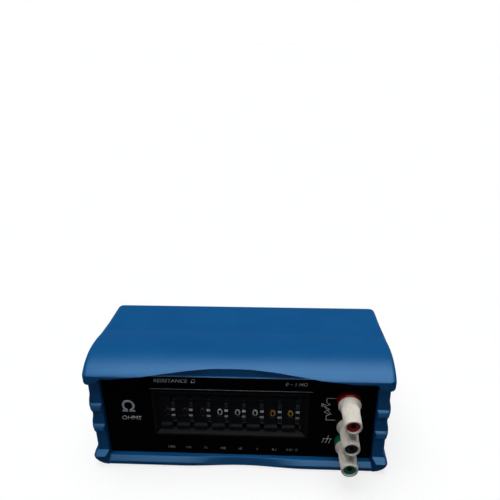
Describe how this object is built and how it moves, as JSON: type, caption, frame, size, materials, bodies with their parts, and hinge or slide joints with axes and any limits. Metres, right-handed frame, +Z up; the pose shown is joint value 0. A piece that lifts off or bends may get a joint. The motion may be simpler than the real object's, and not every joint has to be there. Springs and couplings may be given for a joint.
{
  "type": "decade resistance box",
  "caption": "Bench decade resistance box: moulded case with a wavy overhanging lid and ridged sides, recessed black panel, thumbwheel decade switches and binding posts.",
  "frame": {"origin": "under the middle of the whole part, on the plane of the rubber feet", "axes": "+Z up, +X to the right as seen from the front, the front panel faces -Y"},
  "size_m": [0.2146, 0.1204, 0.0905],
  "materials": {
    "case_blue": "satin moulded",
    "panel_black": "matt black",
    "switch_black": "fine matt",
    "wheel_black": "satin",
    "foot_rubber": "matt",
    "steel": "bright",
    "brass": "turned",
    "nickel": "plated",
    "board_green": "solder mask",
    "resistor_tan": "dipped",
    "post_red": "moulded",
    "post_black": "moulded",
    "post_green": "moulded",
    "nut_ivory": "satin moulded",
    "wire_red": "insulation",
    "wire_black": "insulation",
    "wire_green": "insulation"
  },
  "bodies": {
    "case": {"top_cover": "case_blue", "base_tray": "case_blue", "front_panel": "panel_black", "rear_panel": "panel_black", "rubber_feet": "foot_rubber", "case_screws": "steel", "window_frame": "switch_black", "switch_body_1": "switch_black", "switch_body_2": "switch_black", "switch_body_3": "switch_black", "switch_body_4": "switch_black", "switch_body_5": "switch_black", "switch_body_6": "switch_black", "switch_body_7": "switch_black", "switch_body_8": "switch_black", "contact_boards": "board_green", "detent_springs": "steel", "end_plates": "switch_black", "tie_rods": "steel", "rod_nuts": "steel", "resistors": "resistor_tan", "post_body_red": "post_red", "post_body_black": "post_black", "post_body_green": "post_green", "socket_contacts": "nickel", "post_washers": "nickel", "post_back_nuts": "brass", "solder_tags": "nickel", "tag_nuts": "brass", "hookup_wire_red": "wire_red", "hookup_wire_black": "wire_black", "hookup_wire_green": "wire_green"},
    "wheel_1": {"thumbwheel_1": "wheel_black", "wiper_1": "brass"},
    "wheel_2": {"thumbwheel_2": "wheel_black", "wiper_2": "brass"},
    "wheel_3": {"thumbwheel_3": "wheel_black", "wiper_3": "brass"},
    "wheel_4": {"thumbwheel_4": "wheel_black", "wiper_4": "brass"},
    "wheel_5": {"thumbwheel_5": "wheel_black", "wiper_5": "brass"},
    "wheel_6": {"thumbwheel_6": "wheel_black", "wiper_6": "brass"},
    "wheel_7": {"thumbwheel_7": "wheel_black", "wiper_7": "brass"},
    "wheel_8": {"thumbwheel_8": "wheel_black", "wiper_8": "brass"},
    "insert_red": {"post_insert_red": "brass"},
    "nut_red": {"post_nut_red": "nut_ivory"},
    "insert_black": {"post_insert_black": "brass"},
    "nut_black": {"post_nut_black": "nut_ivory"},
    "insert_green": {"post_insert_green": "brass"},
    "nut_green": {"post_nut_green": "nut_ivory"}
  },
  "joints": [
    {"name": "wheel_1_turn", "type": "hinge", "parent": "case", "child": "wheel_1", "pos_m": [-0.05055, -0.01645, 0.0457], "axis": [1, 0, 0], "continuous": true},
    {"name": "wheel_2_turn", "type": "hinge", "parent": "case", "child": "wheel_2", "pos_m": [-0.03785, -0.01645, 0.0457], "axis": [1, 0, 0], "continuous": true},
    {"name": "wheel_3_turn", "type": "hinge", "parent": "case", "child": "wheel_3", "pos_m": [-0.02515, -0.01645, 0.0457], "axis": [1, 0, 0], "continuous": true},
    {"name": "wheel_4_turn", "type": "hinge", "parent": "case", "child": "wheel_4", "pos_m": [-0.01245, -0.01645, 0.0457], "axis": [1, 0, 0], "continuous": true},
    {"name": "wheel_5_turn", "type": "hinge", "parent": "case", "child": "wheel_5", "pos_m": [0.00025, -0.01645, 0.0457], "axis": [1, 0, 0], "continuous": true},
    {"name": "wheel_6_turn", "type": "hinge", "parent": "case", "child": "wheel_6", "pos_m": [0.01295, -0.01645, 0.0457], "axis": [1, 0, 0], "continuous": true},
    {"name": "wheel_7_turn", "type": "hinge", "parent": "case", "child": "wheel_7", "pos_m": [0.02565, -0.01645, 0.0457], "axis": [1, 0, 0], "continuous": true},
    {"name": "wheel_8_turn", "type": "hinge", "parent": "case", "child": "wheel_8", "pos_m": [0.03835, -0.01645, 0.0457], "axis": [1, 0, 0], "continuous": true},
    {"name": "nut_red_travel", "type": "slide", "parent": "case", "child": "insert_red", "axis": [0, -1, 0], "range_m": [0, 0.005]},
    {"name": "nut_red_turn", "type": "hinge", "parent": "insert_red", "child": "nut_red", "pos_m": [0.0769, -0.04785, 0.0621], "axis": [0, -1, 0], "range_deg": [0, 1440]},
    {"name": "nut_black_travel", "type": "slide", "parent": "case", "child": "insert_black", "axis": [0, -1, 0], "range_m": [0, 0.005]},
    {"name": "nut_black_turn", "type": "hinge", "parent": "insert_black", "child": "nut_black", "pos_m": [0.0769, -0.04785, 0.0431], "axis": [0, -1, 0], "range_deg": [0, 1440]},
    {"name": "nut_green_travel", "type": "slide", "parent": "case", "child": "insert_green", "axis": [0, -1, 0], "range_m": [0, 0.005]},
    {"name": "nut_green_turn", "type": "hinge", "parent": "insert_green", "child": "nut_green", "pos_m": [0.0769, -0.04785, 0.0241], "axis": [0, -1, 0], "range_deg": [0, 1440]}
  ],
  "couplings": [
    {"joint": "nut_red_turn", "follows": "nut_red_travel", "rad_per_m": 5026.5},
    {"joint": "nut_black_turn", "follows": "nut_black_travel", "rad_per_m": 5026.5},
    {"joint": "nut_green_turn", "follows": "nut_green_travel", "rad_per_m": 5026.5}
  ]
}
